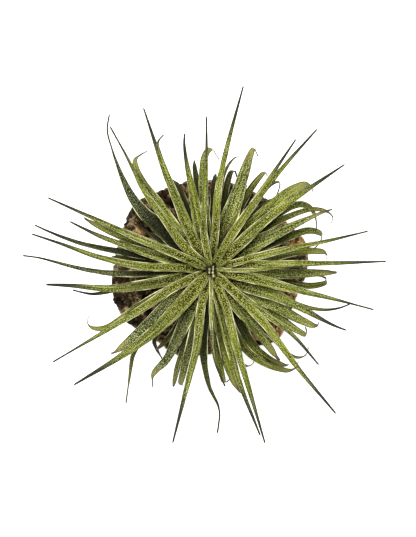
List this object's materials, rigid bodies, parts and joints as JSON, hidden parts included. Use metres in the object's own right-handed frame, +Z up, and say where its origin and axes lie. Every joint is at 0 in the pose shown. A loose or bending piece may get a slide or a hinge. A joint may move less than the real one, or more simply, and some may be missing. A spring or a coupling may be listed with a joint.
{
  "type": "air plant on cork bark",
  "caption": "Air plant: a rosette of slender, arching, pointed leaves round a short stem, held by its roots on a rounded lump of cork bark.",
  "frame": {"origin": "on the flat underside of the cork bark, directly under the axis of the stem", "axes": "+Z up along the stem, +Y towards the side that is at the top in a view from straight above, +X towards its right"},
  "size_m": [0.1317, 0.1281, 0.0788],
  "materials": {
    "cork": "matte",
    "roots": "matte",
    "stem": "matte",
    "leaf": "matte"
  },
  "bodies": {
    "root": {"cork_bark": "cork", "holdfast_roots": "roots", "stem": "stem", "heart_bud": "leaf", "leaf_low_north_east": "leaf", "leaf_low_south": "leaf", "leaf_low_west": "leaf", "leaf_low_south_west": "leaf", "leaf_low_south_east": "leaf", "leaf_low_north_west": "leaf", "leaf_low_east": "leaf", "leaf_under_south_east": "leaf", "leaf_hook_east": "leaf", "leaf_grey_west": "leaf", "leaf_curved_south_east": "leaf", "leaf_hook_north_east": "leaf", "leaf_under_east": "leaf", "leaf_arch_north_east": "leaf", "leaf_hook_south": "leaf", "leaf_dark_north_east": "leaf", "leaf_blunt_south_west": "leaf", "leaf_hook_west": "leaf", "leaf_dark_south": "leaf", "leaf_hooked_south_west": "leaf", "leaf_pale_west": "leaf", "leaf_blunt_west": "leaf", "leaf_hook_south_east": "leaf", "leaf_blunt_east": "leaf", "leaf_broad_south_west": "leaf", "leaf_tailed_west": "leaf", "leaf_hooked_north_west": "leaf", "leaf_hooked_north": "leaf", "leaf_blunt_south_east": "leaf", "leaf_broad_east": "leaf", "leaf_pale_north_east": "leaf", "leaf_pale_south_east": "leaf", "leaf_broad_north": "leaf", "leaf_tapered_south_east": "leaf", "leaf_pale_north": "leaf", "leaf_straight_north_east": "leaf", "leaf_long_east": "leaf", "leaf_bright_west": "leaf", "leaf_slender_east": "leaf", "leaf_bright_south_east": "leaf", "leaf_slender_south_west": "leaf", "leaf_bright_south": "leaf", "leaf_long_north_west": "leaf", "leaf_long_south": "leaf", "leaf_long_south_west": "leaf", "leaf_long_north": "leaf", "leaf_straight_east": "leaf", "leaf_bright_north_west": "leaf", "leaf_straight_south": "leaf", "leaf_bright_north_east": "leaf", "leaf_long_north_east": "leaf", "leaf_long_south_east": "leaf", "leaf_long_west": "leaf", "leaf_slim_north": "leaf", "leaf_narrow_east": "leaf", "leaf_narrow_south": "leaf"}
  },
  "joints": []
}
